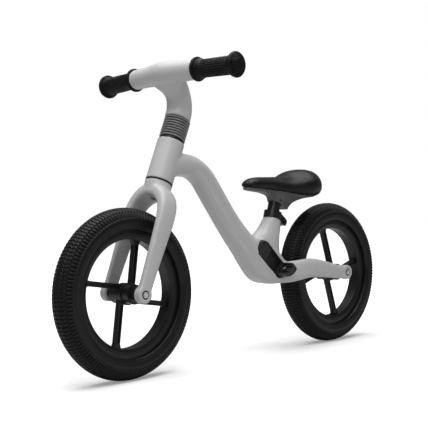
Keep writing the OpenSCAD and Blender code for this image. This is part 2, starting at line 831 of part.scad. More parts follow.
// The saddle's outline: place along the bike, half width, seam height, pad height, and the
// depth and lower half width of the base under it
saddle_rows = [
    [-25.5, 5, 334.5, 6, 3, 4.2],
    [-28, 11, 334.2, 10.5, 4.2, 7],
    [-34, 15.5, 333.6, 15, 5, 9],
    [-45, 19, 332.6, 20.2, 5.2, 10.5],
    [-62, 21.5, 331, 23.3, 5.2, 12],
    [-78, 22.6, 329.4, 24.4, 5.4, 13],
    [-90, 23.8, 328.2, 25.4, 7, 13],
    [-98, 25.2, 327.2, 26.2, 10.5, 9],
    [-102, 26.1, 326.7, 26.5, 20, 7],
    [-104, 26.6, 326.4, 26.7, 42, 9],
    [-111, 29, 325.4, 28, 42, 14],
    [-119, 32, 324.2, 29.4, 44, 14.8],
    [-132, 38.5, 322.2, 30, 44, 12.5],
    [-146, 46.5, 319.9, 34, 31, 9.5],
    [-160, 54.5, 318, 41, 17, 11],
    [-178, 62.8, 316.4, 50.8, 7.5, 20],
    [-194, 60.8, 316, 54.8, 4, 28],
    [-208, 53.8, 316, 54, 3, 28],
    [-219, 43.5, 317.2, 48.5, 2.6, 24],
    [-227, 30.5, 321, 37.5, 2.5, 17],
    [-232, 17.5, 325.5, 25, 2, 12],
    [-234, 7.5, 332, 12, 2, 6]];

function saddle_place(row) = [row[0] - stretch, row[1], row[2] + lift];

// Sections through the saddle: the padded top with its edge rolled under, and the base
function pad_ring(row) =
    let (p = saddle_place(row), steps = 18, roll = min(3 + 0.3 * p[1], 0.45 * row[3]),
        tuck = 20 + 0.45 * p[1], under = roll / sin(tuck))
    [for (k = [0:steps]) let (a = (180 + 2 * tuck) * k / steps - tuck)
        [p[0], p[1] * power(cos(a), 2.3),
            p[2] + roll + (a < 0 || a > 180 ? under : row[3] - roll) * sin(a)]];

function base_ring(row) =
    let (p = saddle_place(row), steps = 8, lip = p[1] * (1.02 - 0.0042 * p[1]),
        flare = 1.8 + row[4] / 12)
    [for (side = [1, -1], k = [0:steps])
        let (v = side > 0 ? 1 - k / steps : k / steps)
        [p[0], side * (row[5] + (lip - row[5]) * pow(v, flare)), p[2] - row[4] * (1 - v)]];

module saddle_pad() {
    color(rubber) skin([for (r = smooth(saddle_rows, 2)) pad_ring(r)]);
}

module saddle_base() {
    rows = smooth(saddle_rows, 2);
    color(dark_grey) difference() {
        skin([for (i = [0:len(rows) - 6]) base_ring(rows[i])]);
        on_seat() {
            translate([0, 0, base_low]) rotate([0, -base_tilt, 0])
                translate([-100, -50, -60]) cube([117, 100, 60]);
            translate([0, 0, -5]) cylinder(r = post_r + seat_fit, h = post_rise + 5.2);
            translate([0, 0, saddle_bolt_z]) rotate([90, 0, 0])
                cylinder(r = screw_r, h = 60, center = true);
        }
    }
}

module saddle_bolt() {
    color(dark_grey) on_seat() translate([0, 15, saddle_bolt_z]) rotate([90, 0, 0])
        cylinder(r = screw_r - seat_fit, h = 30);
}

// ---- Footrests ----

module footrest_tray(side) {
    face = tray_depth - tray_lip;
    color(black_plastic) on_tray(side) difference() {
        linear_extrude(tray_depth) tray_shape(tray_r);
        translate([0, 0, face]) linear_extrude(tray_depth) tray_shape(tray_r - tray_rim);
        intersection() {
            translate([0, 0, tray_floor]) linear_extrude(tray_depth) tray_shape(tray_r - tray_rim);
            translate([-tray_w, -tray_w / 2, 0]) cube([tray_w + peg_len + 1, tray_w, 2 * tray_depth]);
        }
        translate([0, 0, hinge_z]) rotate([90, 0, 0])
            cylinder(r = pin_r + seat_fit, h = tray_w + 2, center = true);
        translate([tray_screw_x, 0, -1]) cylinder(r = tray_screw_r + 0.1, h = tray_depth);
        translate([tray_screw_x, 0, face - 2]) cylinder(r = tray_head_r + 0.2, h = tray_depth);
    }
}

// A footrest in its folded place: hinge barrel, paddle with a round tip, and a hollow inner side
module footrest_shape() {
    half = peg_w / 2;
    reach = peg_len - half;
    difference() {
        intersection() {
            rotate([90, 0, 0]) linear_extrude(peg_w + 2, center = true) {
                circle(r = peg_r);
                translate([0, -peg_r]) square([peg_len + 1, peg_t]);
            }
            linear_extrude(peg_t + 2, center = true) {
                translate([-peg_r - 1, -half]) square([reach + peg_r + 1, peg_w]);
                translate([reach, 0]) circle(r = half);
            }
        }
        translate([0, 0, -peg_r - 1]) linear_extrude(peg_hollow + 1) difference() {
            union() {
                translate([peg_r + 4, 3 - half]) square([reach - peg_r - 4, peg_w - 6]);
                translate([reach, 0]) circle(r = half - 3);
            }
            translate([peg_screw_at, 0]) circle(r = 5);
            for (y = [-7, 7]) {
                translate([peg_screw_at, y - 0.8]) square([peg_len - peg_screw_at, 1.6]);
            }
        }
        translate([peg_screw_at, 0, -peg_r - 1]) cylinder(r = peg_head_r + 0.2, h = 3.4);
        translate([peg_screw_at, 0, -peg_r - 1]) cylinder(r = peg_shank_r + seat_fit, h = peg_t - 1);
        rotate([90, 0, 0]) cylinder(r = pin_r + run_fit, h = peg_w + 2, center = true);
    }
}

module footrest(side) {
    color(black_plastic) on_tray(side) translate([0, 0, hinge_z]) rotate([0, -90, 0])
        footrest_shape();
}

module footrest_pin(side) {
    color(steel) on_tray(side) translate([0, 0, hinge_z]) rotate([90, 0, 0])
        cylinder(r = pin_r, h = tray_w - 0.4, center = true);
}

module footrest_screw(side) {
    color(steel) on_tray(side) translate([0, 0, hinge_z]) rotate([0, -90, 0])
        translate([peg_screw_at, 0, -peg_r + 0.2])
            cap_screw(peg_head_r, 2.2, peg_shank_r, 5, 2.5);
}

module tray_screws() {
    face = tray_depth - tray_lip;
    color(dark_grey) {
        for (side = [-1, 1]) {
            on_tray(side) translate([tray_screw_x, 0, face - 0.3]) rotate([180, 0, 0])
                cap_screw(tray_head_r, 1.7, tray_screw_r, 11, 2.5);
        }
    }
}

frame();
headset_bearing(head_low + headset_depth - headset_t);  // lower_headset_bearing
headset_bearing(head_top - headset_depth);  // upper_headset_bearing
headset_seal();
fork();
steerer_tube();
crown_bolt();
steering_limiter();
headset_locknut();
steering_collar();
stem();
stem_screws();
handlebar_tube(1);  // handlebar_tube_left
handlebar_tube(-1);  // handlebar_tube_right
handlebar_screws();
grip(1);  // grip_left
grip(-1);  // grip_right
wheel(front_x, front_turn, front_valve_at);  // front_wheel
tyre(front_x);  // front_tyre
inner_tube(front_x);  // front_inner_tube
valve(front_x, front_valve_at);  // front_valve
valve_cap(front_x, front_valve_at);  // front_valve_cap
hub_bearings(front_x);  // front_hub_bearings
bearing_spacer(front_x);  // front_bearing_spacer
axle(front_x);  // front_axle
axle_spacers(front_x);  // front_axle_spacers
axle_washers(front_x);  // front_axle_washers
axle_bolts(front_x);  // front_axle_bolts
wheel(rear_x, -rear_turn, rear_valve_at);  // rear_wheel
tyre(rear_x);  // rear_tyre
inner_tube(rear_x);  // rear_inner_tube
valve(rear_x, rear_valve_at);  // rear_valve
valve_cap(rear_x, rear_valve_at);  // rear_valve_cap
hub_bearings(rear_x);  // rear_hub_bearings
bearing_spacer(rear_x);  // rear_bearing_spacer
axle(rear_x);  // rear_axle
axle_spacers(rear_x);  // rear_axle_spacers
axle_washers(rear_x);  // rear_axle_washers
axle_bolts(rear_x);  // rear_axle_bolts
seat_clamp();
seat_clamp_bolt();
seat_clamp_nut();
seat_post();
saddle_base();
saddle_pad();
saddle_bolt();
footrest_tray(1);  // footrest_tray_left
footrest_tray(-1);  // footrest_tray_right
footrest(1);  // footrest_left
footrest(-1);  // footrest_right
footrest_pin(1);  // footrest_pin_left
footrest_pin(-1);  // footrest_pin_right
footrest_screw(1);  // footrest_screw_left
footrest_screw(-1);  // footrest_screw_right
tray_screws();
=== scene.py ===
"""Balance bike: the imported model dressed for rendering.

Lengths are in metres, +X points forwards, +Y to the rider's left and +Z up.
"""

import json
import math

import bmesh
import bpy
import numpy as np
from mathutils import Matrix, Vector


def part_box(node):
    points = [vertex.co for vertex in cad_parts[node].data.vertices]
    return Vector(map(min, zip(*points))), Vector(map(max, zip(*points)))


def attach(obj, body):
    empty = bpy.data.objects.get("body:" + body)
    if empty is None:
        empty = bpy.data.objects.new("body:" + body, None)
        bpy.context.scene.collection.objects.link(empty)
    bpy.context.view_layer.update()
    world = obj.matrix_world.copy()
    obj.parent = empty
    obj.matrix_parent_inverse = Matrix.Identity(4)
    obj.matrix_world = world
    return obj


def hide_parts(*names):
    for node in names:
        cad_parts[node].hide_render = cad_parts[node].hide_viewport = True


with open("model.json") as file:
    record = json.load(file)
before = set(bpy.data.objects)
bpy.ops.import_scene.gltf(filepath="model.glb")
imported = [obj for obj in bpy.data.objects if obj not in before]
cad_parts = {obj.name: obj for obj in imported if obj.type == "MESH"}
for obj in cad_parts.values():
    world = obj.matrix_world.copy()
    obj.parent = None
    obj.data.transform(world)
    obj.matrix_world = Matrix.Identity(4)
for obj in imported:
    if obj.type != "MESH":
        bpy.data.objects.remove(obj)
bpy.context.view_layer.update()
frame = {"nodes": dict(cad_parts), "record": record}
nodes = frame["nodes"]
scene = bpy.context.scene

MM = 0.001
TAU = 2 * math.pi
AXLE_X = (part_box("front_tyre")[0].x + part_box("front_tyre")[1].x) / 2
AXLE_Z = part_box("front_tyre")[1].z / 2


# ---- Materials ----

RIM_GROOVE_R = 0.1028
RIM_GROOVE_FLOOR, RIM_GROOVE_EDGE = 0.0004, 0.0013


def node_tree(name):
    """A new material with its node tree and its Principled shader."""
    mat = bpy.data.materials.new(name)
    mat.use_nodes = True
    tree = mat.node_tree
    return mat, tree, tree.nodes["Principled BSDF"]


def bare_tree(owner):
    """The emptied node tree of a material or a world."""
    owner.use_nodes = True
    owner.node_tree.nodes.clear()
    return owner.node_tree


def add(tree, kind, *sources, **values):
    """A node of one kind: values are set by name, and sources feed its inputs in order."""
    node = tree.nodes.new(kind)
    for key, value in values.items():
        if hasattr(node, key):
            setattr(node, key, value)
        else:
            node.inputs[key.replace("_", " ")].default_value = value
    for source, entry in zip(sources, node.inputs):
        tree.links.new(source, entry)
    return node


def noise(tree, where, scale, detail=4.0):
    """Noise in object space, with scale in waves a metre."""
    return add(tree, "ShaderNodeTexNoise", where, Scale=scale, Detail=detail,
               Roughness=0.55).outputs["Fac"]


def mottle_color(tree, shader, where, color, spread, scale):
    """A base colour that varies by the share spread, in soft spots."""
    spots = add(tree, "ShaderNodeValToRGB", noise(tree, where, scale, 6.0))
    ends = ((0.3, 1 - spread), (0.7, 1 + spread))
    for element, (position, share) in zip(spots.color_ramp.elements, ends):
        element.position = position
        element.color = (*(c * share for c in color), 1)
    tree.links.new(spots.outputs["Color"], shader.inputs["Base Color"])


def mottle_roughness(tree, shader, where, rough, spread, scale, detail):
    """A roughness that varies by spread either way."""
    level = add(tree, "ShaderNodeMapRange", noise(tree, where, scale, detail),
                To_Min=rough - spread, To_Max=rough + spread)
    tree.links.new(level.outputs["Result"], shader.inputs["Roughness"])


def bump_by(tree, shader, height, strength, distance):
    """Adds a bump to the shader, over the normal that it already has."""
    bump = add(tree, "ShaderNodeBump", Strength=strength, Distance=distance)
    tree.links.new(height, bump.inputs["Height"])
    for before in shader.inputs["Normal"].links:
        tree.links.new(before.from_socket, bump.inputs["Normal"])
    tree.links.new(bump.outputs["Normal"], shader.inputs["Normal"])


def finish_material(name, color, rough, metal=0.0, spread=0.06, mottle=90.0, grain=2200.0,
                    grain_depth=0.00002, soft_edge=0.0006, specular=0.5):
    """A moulded or painted finish: faint mottling, fine grain, and softly rounded edges."""
    mat, tree, shader = node_tree(name)
    where = add(tree, "ShaderNodeTexCoord").outputs["Object"]
    mottle_color(tree, shader, where, color, spread, mottle)
    mottle_roughness(tree, shader, where, rough, 0.06, mottle * 2.3, 3.0)
    if soft_edge:
        bevel = add(tree, "ShaderNodeBevel", samples=4, Radius=soft_edge)
        tree.links.new(bevel.outputs["Normal"], shader.inputs["Normal"])
    bump_by(tree, shader, noise(tree, where, grain, 2.0), 0.6, grain_depth)
    shader.inputs["Metallic"].default_value = metal
    shader.inputs["Specular IOR Level"].default_value = specular
    return mat


def leather_material(name, color, rough):
    """Matt synthetic leather: pebbled cells with fine creases between them."""
    mat, tree, shader = node_tree(name)
    where = add(tree, "ShaderNodeTexCoord").outputs["Object"]
    warp = add(tree, "ShaderNodeTexNoise", where, Scale=260.0, Detail=2.0)
    shift = add(tree, "ShaderNodeVectorMath", warp.outputs["Color"], operation="SCALE",
                Scale=0.0014)
    bent = add(tree, "ShaderNodeVectorMath", where, shift.outputs[0], operation="ADD")
    cells = add(tree, "ShaderNodeTexVoronoi", bent.outputs[0], feature="DISTANCE_TO_EDGE",
                Scale=620.0)
    pebble = add(tree, "ShaderNodeMapRange", cells.outputs["Distance"], From_Max=0.12, To_Max=1.0)
    bump_by(tree, shader, pebble.outputs["Result"], 0.35, 0.00009)
    mottle_color(tree, shader, where, color, 0.18, 60.0)
    mottle_roughness(tree, shader, where, rough, 0.07, 140.0, 4.0)
    shader.inputs["Sheen Weight"].default_value = 0.02
    shader.inputs["Specular IOR Level"].default_value = 0.15
    return mat


def wheel_material(name, color, rough, centre_x):
    """Moulded wheel plastic with a fine groove between the rim's sloped and flat bands."""
    mat = finish_material(name, color, rough, spread=0.12, grain=3000.0, soft_edge=0.0009,
                          specular=0.26)
    tree = mat.node_tree
    where = add(tree, "ShaderNodeTexCoord").outputs["Object"]
    local = add(tree, "ShaderNodeVectorMath", where, operation="SUBTRACT")
    local.inputs[1].default_value = (centre_x, 0, AXLE_Z)
    flat = add(tree, "ShaderNodeVectorMath", local.outputs[0], operation="MULTIPLY")
    flat.inputs[1].default_value = (1, 0, 1)
    radius = add(tree, "ShaderNodeVectorMath", flat.outputs[0], operation="LENGTH")
    off = add(tree, "ShaderNodeMath", radius.outputs["Value"], operation="SUBTRACT")
    off.inputs[1].default_value = RIM_GROOVE_R
    near = add(tree, "ShaderNodeMath", off.outputs[0], operation="ABSOLUTE")
    groove = add(tree, "ShaderNodeMapRange", near.outputs[0], From_Min=RIM_GROOVE_FLOOR,
                 From_Max=RIM_GROOVE_EDGE)
    bump_by(tree, tree.nodes["Principled BSDF"], groove.outputs["Result"], 0.9, 0.0007)
    return mat


def grey(level):
    """A neutral colour."""
    return level, level, level


paint = finish_material("cast_paint", grey(0.365), 0.42, spread=0.02, mottle=45.0,
                        grain=1500.0, grain_depth=0.00003, soft_edge=0.0, specular=0.4)
grip_rubber = finish_material("grip_rubber", grey(0.004), 0.5, spread=0.2, grain=2600.0,
                              grain_depth=0.00004, soft_edge=0.0, specular=0.12)
tread_rubber = finish_material("tread_rubber", grey(0.0035), 0.5, spread=0.25, mottle=70.0,
                               grain=1900.0, grain_depth=0.00005, soft_edge=0.0,
                               specular=0.17)
side_rubber = finish_material("sidewall_rubber", grey(0.005), 0.34, spread=0.15, mottle=60.0,
                              grain_depth=0.00003, soft_edge=0.0, specular=0.19)
tube_rubber = finish_material("tube_rubber", grey(0.01), 0.6, specular=0.2)
trim_plastic = finish_material("trim_plastic", grey(0.008), 0.4, spread=0.15,
                               soft_edge=0.0005, specular=0.3)
recess_plastic = finish_material("recess_plastic", grey(0.016), 0.5, spread=0.15,
                                 grain=1800.0, grain_depth=0.00005, soft_edge=0.0004,
                                 specular=0.28)
base_plastic = finish_material("base_plastic", (0.074, 0.071, 0.073), 0.55, spread=0.08,
                               grain=2000.0, grain_depth=0.00005, soft_edge=0.0,
                               specular=0.3)
black_metal = finish_material("black_metal", grey(0.007), 0.3, spread=0.1, grain=2600.0,
                              grain_depth=0.00001, soft_edge=0.0005, specular=0.35)
# The collar is black plastic; this light grey on its ribs is a painted highlight on their tops.
collar_rib_highlight_grey = finish_material("collar_rib_highlight_grey", grey(0.15), 0.4, spread=0.1,
                                 soft_edge=0.0004)
steel = finish_material("bright_steel", grey(0.6), 0.28, metal=1.0, spread=0.05,
                        grain=3500.0, grain_depth=0.00001, soft_edge=0.0003)
dark_steel = finish_material("dark_steel", grey(0.06), 0.4, metal=1.0, spread=0.1,
                             grain=3000.0, grain_depth=0.00001, soft_edge=0.0003)
saddle_leather = leather_material("saddle_leather", grey(0.005), 0.4)
front_plastic = wheel_material("front_wheel_plastic", grey(0.005), 0.36, AXLE_X)
rear_plastic = wheel_material("rear_wheel_plastic", grey(0.005), 0.36, -AXLE_X)

# The material of each slot, and the nodes that have one of their own.
finishes = {"cast_alloy": paint, "black_rubber": grip_rubber, "tyre_rubber": side_rubber,
            "saddle_cover": saddle_leather, "grey_plastic": base_plastic,
            "black_plastic": trim_plastic, "black_metal": black_metal, "steel": steel}
special = {"front_wheel": front_plastic, "rear_wheel": rear_plastic,
           "front_inner_tube": tube_rubber, "rear_inner_tube": tube_rubber,
           "steering_collar": collar_rib_highlight_grey, "crown_bolt": dark_steel,
           "seat_clamp_bolt": dark_steel, "seat_clamp_nut": dark_steel,
           "front_hub_bearings": dark_steel, "rear_hub_bearings": dark_steel,
           "footrest_tray_left": recess_plastic, "footrest_tray_right": recess_plastic}
for part in frame["record"]["subparts"]:
    mesh = nodes[part["node"]].data
    mesh.materials.clear()
    mesh.materials.append(special.get(part["node"], finishes[part["material_slot"]]))


# ---- Mesh helpers ----

def in_scene(name, data):
    """A new object in the scene."""
    thing = bpy.data.objects.new(name, data)
    scene.collection.objects.link(thing)
    return thing


def dress(name, mesh, material, body, node):
    """Puts a mesh in the scene in the place of a node."""
    piece = in_scene(name, mesh)
    mesh.materials.clear()
    mesh.materials.append(material)
    mesh.shade_smooth()
    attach(piece, body)
    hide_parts(node)
    return piece


def coordinates(mesh):
    """The mesh's points as an array."""
    flat = np.empty(len(mesh.vertices) * 3)
    mesh.vertices.foreach_get("co", flat)
    return flat.reshape(-1, 3)


def move_to(mesh, points):
    """Puts the mesh's points where an array says."""
    mesh.vertices.foreach_set("co", points.ravel())
    mesh.update()


def evaluated_mesh(thing):
    """A new mesh of an object with its modifiers applied."""
    deps = bpy.context.evaluated_depsgraph_get()
    return bpy.data.meshes.new_from_object(thing.evaluated_get(deps))


def remeshed(node, voxel, extra=()):
    """A copy of a node's mesh in even quads, with extra closed solids merged in."""
    source = nodes[node].data.copy()
    source.materials.clear()
    if extra:
        whole = bmesh.new()
        whole.from_mesh(source)
        for verts, faces in extra:
            added = [whole.verts.new(v) for v in verts]
            for face in faces:
                whole.faces.new([added[k] for k in face])
        bmesh.ops.recalc_face_normals(whole, faces=whole.faces)
        whole.to_mesh(source)
        whole.free()
    carrier = in_scene("carrier", source)
    change = carrier.modifiers.new("even", "REMESH")
    change.mode = "VOXEL"
    change.voxel_size = voxel
    mesh = evaluated_mesh(carrier)
    bpy.data.objects.remove(carrier)
    return mesh


def relax(mesh, rounds, weight=None, push=0.52, pull=-0.54):
    """Smooths the mesh without shrinking it; weight holds points back where it is under 1."""
    points = coordinates(mesh)
    pairs = np.empty(len(mesh.edges) * 2, dtype=np.int64)
    mesh.edges.foreach_get("vertices", pairs)
    a, b = pairs[0::2], pairs[1::2]
    count = len(points)
    held = np.ones(count) if weight is None else weight(points)
    moving = (held[a] > 0) | (held[b] > 0)
    a, b = a[moving], b[moving]
    near = np.bincount(a, minlength=count) + np.bincount(b, minlength=count)
    near = np.maximum(near, 1)[:, None]
    held = held[:, None]
    for _ in range(rounds):
        for factor in (push, pull):
            total = np.empty_like(points)
            for k in range(3):
                total[:, k] = (np.bincount(a, points[b, k], count)
                               + np.bincount(b, points[a, k], count))
            points = points + factor * held * (total / near - points)
    move_to(mesh, points)
    return mesh


def step_up(x, low, high):
    """0 below low, 1 above high, smooth between."""
    t = np.clip((x - low) / (high - low), 0, 1)
    return t * t * (3 - 2 * t)


def band(x, rise, fall):
    """0 before rise and after fall, 1 between them; each is a start and an end."""
    return step_up(x, *rise) * (1 - step_up(x, *fall))


def outward(profile):
    """Unit directions across a profile, away from the axis where it runs along +Z."""
    run = np.gradient(profile, axis=0)
    out = np.stack([run[:, 1], -run[:, 0]], -1)
    return out / np.maximum(np.linalg.norm(out, axis=1), 1e-9)[:, None]


def turned(name, profile, around, height, material, body, node, matrix, second=None):
    """A turned piece with relief: profile rows are (radius, along), closed around the axis.

    height(angle, row) gives the relief, outwards. second is a second material and, for each
    row, whether it is of that one.
    """
    profile = np.array(profile)
    rise = outward(profile)
    angle = np.linspace(0, TAU, around, endpoint=False)[:, None]
    relief = height(angle, np.arange(len(profile))[None, :])
    radius = profile[None, :, 0] + relief * rise[None, :, 0]
    along = profile[None, :, 1] + relief * rise[None, :, 1]
    points = np.stack([radius * np.cos(angle), radius * np.sin(angle), along], -1)
    grid = np.arange(around * len(profile)).reshape(around, len(profile))
    following = np.roll(grid, -1, axis=0)
    faces = np.stack([grid[:, :-1], following[:, :-1], following[:, 1:], grid[:, 1:]], -1)
    placed = (np.array(matrix.to_3x3()) @ points.reshape(-1, 3).T).T
    placed = placed + np.array(matrix.translation)
    mesh = bpy.data.meshes.new(name)
    mesh.from_pydata([tuple(v) for v in placed], [], [tuple(f) for f in faces.reshape(-1, 4)])
    mesh.update()
    piece = dress(name, mesh, material, body, node)
    if second:
        mesh.materials.append(second[0])
        bands = np.tile(np.array(second[1][:-1], dtype=np.int32), around)
        mesh.polygons.foreach_set("material_index", bands)
        mesh.update()
    return piece


def prism_faces(count):
    """The faces of a closed solid of two equal outlines, one after the other."""
    walls = [(k, (k + 1) % count, count + (k + 1) % count, count + k) for k in range(count)]
    return walls + [tuple(range(count))[::-1], tuple(range(count, 2 * count))]


def rod(start, end, radius, sides=64):
    """A closed round rod between two points."""
    start, end = Vector(start), Vector(end)
    run = (end - start).normalized()
    across = run.orthogonal().normalized()
    other = run.cross(across)
    verts = []
    for point in (start, end):
        for k in range(sides):
            t = TAU * k / sides
            verts.append(point + radius * (across * math.cos(t) + other * math.sin(t)))
    return verts, prism_faces(sides)


def loft(rows, sides=48, steps=5):
    """A closed solid through oval rows, each of (centre, half across, half along, power).

    It runs smoothly through the rows, in so many steps from one to the next.
    """
    table = np.array([[*c, *a, *b, n] for c, a, b, n in rows], dtype=float)
    padded = np.vstack([2 * table[0] - table[1], table, 2 * table[-1] - table[-2]])
    rings = []
    for k in range(len(table) - 1):
        p0, p1, p2, p3 = padded[k:k + 4]
        for t in np.linspace(0, 1, steps, endpoint=k == len(table) - 2):
            rings.append(0.5 * (2 * p1 + (p2 - p0) * t + (2 * p0 - 5 * p1 + 4 * p2 - p3) * t ** 2
                                + (3 * p1 - p0 - 3 * p2 + p3) * t ** 3))
    verts = []
    for ring in rings:
        centre, half_a, half_b, power = ring[0:3], ring[3:6], ring[6:9], ring[9]
        for k in range(sides):
            c, d = math.cos(TAU * k / sides), math.sin(TAU * k / sides)
            u = math.copysign(abs(c) ** (2 / power), c)
            v = math.copysign(abs(d) ** (2 / power), d)
            verts.append(tuple(centre + u * half_a + v * half_b))
    last = (len(rings) - 1) * sides
    faces = [(r + k, r + (k + 1) % sides, r + sides + (k + 1) % sides, r + sides + k)
             for r in range(0, last, sides) for k in range(sides)]
    return verts, faces + [tuple(range(sides))[::-1], tuple(range(last, last + sides))]


def cut(mesh, solids):
    """The mesh with closed solids cut away, their edges left crisp."""
    base = in_scene("cut_base", mesh)
    things = [base]
    for verts, faces in solids:
        tool = bpy.data.meshes.new("cutter")
        tool.from_pydata([tuple(v) for v in verts], [], faces)
        shape = bmesh.new()
        shape.from_mesh(tool)
        bmesh.ops.recalc_face_normals(shape, faces=shape.faces)
        shape.to_mesh(tool)
        shape.free()
        change = base.modifiers.new("cut", "BOOLEAN")
        change.operation = "DIFFERENCE"
        change.solver = "MANIFOLD"
        change.object = in_scene("cutter", tool)
        things.append(change.object)
    done = evaluated_mesh(base)
    for thing in things:
        bpy.data.objects.remove(thing)
    return done


# ---- Castings ----

HEAD_ANGLE = math.radians(24)
# Heights on the steering axis, from the front axle; RISE and FALL are the two ends of a fade.
HEAD_LOW, HEAD_TOP, COLLAR_TOP = 0.213, 0.293, 0.3385
HEAD_RISE, HEAD_FALL = (HEAD_LOW + 0.001, HEAD_LOW + 0.010), (HEAD_TOP - 0.008, HEAD_TOP - 0.001)
CROWN_RISE, CROWN_FALL = (0.120, 0.150), (0.196, 0.206)
STEM_RISE = (COLLAR_TOP + 0.004, COLLAR_TOP + 0.020)
# The same along Y, on the bar sleeve.
SLEEVE_FALL = (0.060, 0.076)

BAR_CENTRE = Vector((AXLE_X - 0.1045, 0, AXLE_Z + 0.392))
BAR_SWEEP = math.radians(4)
BAR_DROP = math.radians(1.5)

# Where tubes join on the frame: the point, how far round it counts fully, and where it ends.
HEAD_JOIN = ((0.172, 0, 0.37), 0.036, 0.062)
SEAT_JOIN = ((-0.050, 0.012, 0.226), 0.022, 0.046)
STAY_JOIN = ((-0.139, 0.027, 0.176), 0.016, 0.038)
JOIN_ROUNDS = 110
JOIN_SMOOTH = {"push": 0.6, "pull": -0.606}
CRISP_ANGLE = math.radians(38)
BOLT_CRISP_ANGLE = math.radians(30)
SHELL_SHARE = 0.984

# The axle bolts, along Y.
DROPOUT_OUT = 0.053
WASHER_THICK = 0.0012
FACE_NEAR = 0.0001
HEAD_DRAWN_IN = 0.5
BOLT_RECESS = 0.0025
RECESS_R = 0.0081
RECESS_END = 0.060

# The grub screws' holes: along the bar, from the bar's or the neck's centre, and above the collar.
SCREW_R = 0.0026
SCREW_SIDES = 32
BAR_SCREW_AT = 0.034
BAR_SCREW_FROM, NECK_SCREW_FROM, SCREW_END = 0.013, 0.018, 0.040
NECK_SCREWS_UP = (0.008, 0.019)

# The pockets for the footrest trays.
TRAY_ANGLE = math.radians(44.2)
TRAY_R = 0.01712
TRAY_GAP = 0.00012
TRAY_LEN = 0.061
TRAY_BACK = 0.0154
TRAY_END = 0.034
TRAY_STEPS = 40

# The valley along the down tube: its line in X and Z, its fade at both ends, size and start in Y.
VALLEY_LINE = [(0.130, 0.3495), (0.100, 0.318), (0.069, 0.285), (0.034, 0.254),
               (0.001, 0.222), (-0.036, 0.186), (-0.068, 0.152)]
VALLEY_RISE, VALLEY_FALL = (-0.128, -0.095), (0.030, 0.066)
VALLEY_DEPTH = 0.0017
VALLEY_HALF_W = 0.0052
VALLEY_SIDE = (0.010, 0.016)

# The lofts' rows, and how square their ovals are, where 2 is an ellipse.
WEB_POWER, NECK_POWER = 2.3, 2.1
# Millimetres: top point (X, Z), low point (X, Z), half width.
WEB_ROWS = [((176.9, 404), (199.7, 352.8), 24.7), ((165, 399), (188, 350), 24.3),
            ((150, 397.5), (171, 353), 23.2), ((134, 395.6), (157, 355), 21.7),
            ((115, 390), (143, 354), 20.5)]
# Millimetres and degrees: X, Z, tilt, half depth, half width.
NECK_ROWS = [(152.6, 462.5, 20, 23.6, 23.6), (148.1, 475, 12, 23.2, 23.2),
             (147.2, 490, -2, 22.8, 23), (150, 505, -18, 22.4, 22.6), (158, 519, -36, 22, 26.4),
             (170, 531, -50, 21.5, 37), (184, 541, -58, 18, 48)]


def up_axis(points):
    """How far points lie from the front axle, along the steering axis."""
    return ((AXLE_X - points[:, 0]) * math.sin(HEAD_ANGLE)
            + (points[:, 2] - AXLE_Z) * math.cos(HEAD_ANGLE))


def ball_weight(points, centre, full, none):
    """1 near a centre, 0 far from it; it counts on both sides of the bike."""
    away = points - np.array(centre)
    away[:, 1] = np.abs(points[:, 1]) - centre[1]
    return 1 - step_up(np.linalg.norm(away, axis=1), full, none)


def frame_blends(points):
    """Where the frame's tubes run into each other, clear of the head tube's ends."""
    z = up_axis(points)
    head = (ball_weight(points, *HEAD_JOIN) * step_up(z, *HEAD_RISE)
            * (1 - step_up(z, *HEAD_FALL)))
    seat = ball_weight(points, *SEAT_JOIN)
    stay = ball_weight(points, *STAY_JOIN)
    return np.maximum(np.maximum(head, seat), stay)


def fork_blends(points):
    """The fork's crown, between its neck's top and its blades."""
    return band(up_axis(points), CROWN_RISE, CROWN_FALL)


def stem_blends(points):
    """Where the stem's neck runs into the bar sleeve."""
    clear = step_up(up_axis(points), *STEM_RISE)
    return clear * (1 - step_up(np.abs(points[:, 1]), *SLEEVE_FALL))


def neck_row(x, z, tilt, half_x, half_y):
    """A row of the stem's neck for loft, from one of NECK_ROWS."""
    t = math.radians(tilt)
    return ((x * MM, 0, z * MM), (half_x * MM * math.cos(t), 0, half_x * MM * math.sin(t)),
            (0, half_y * MM, 0), NECK_POWER)


def web_row(top, low, half_w):
    """A row of the web behind the head tube for loft, from one of WEB_ROWS."""
    return (((top[0] + low[0]) / 2 * MM, 0, (top[1] + low[1]) / 2 * MM), (0, half_w * MM, 0),
            ((top[0] - low[0]) / 2 * MM, 0, (top[1] - low[1]) / 2 * MM), WEB_POWER)


def valley(mesh):
    """Presses the soft valley into both sides of the down tube."""
    points = coordinates(mesh)
    line = np.array(VALLEY_LINE)
    flat = points[:, [0, 2]]
    best = np.full(len(points), 1.0)
    for a, b in zip(line[:-1], line[1:]):
        run = b - a
        t = np.clip(((flat - a) @ run) / (run @ run), 0, 1)
        best = np.minimum(best, np.linalg.norm(flat - a - t[:, None] * run, axis=1))
    fade = band(-points[:, 0], VALLEY_RISE, VALLEY_FALL)
    depth = VALLEY_DEPTH * np.exp(-(best / VALLEY_HALF_W) ** 2) * fade
    depth *= step_up(np.abs(points[:, 1]), *VALLEY_SIDE)
    points[:, 1] -= np.sign(points[:, 1]) * depth
    move_to(mesh, points)


def drawn_in(mesh):
    """The saddle's shell drawn in a little, so that the pad covers its rim."""
    points = coordinates(mesh)
    middle = points[:, 0].mean()
    points[:, 0] = middle + (points[:, 0] - middle) * SHELL_SHARE
    move_to(mesh, points)


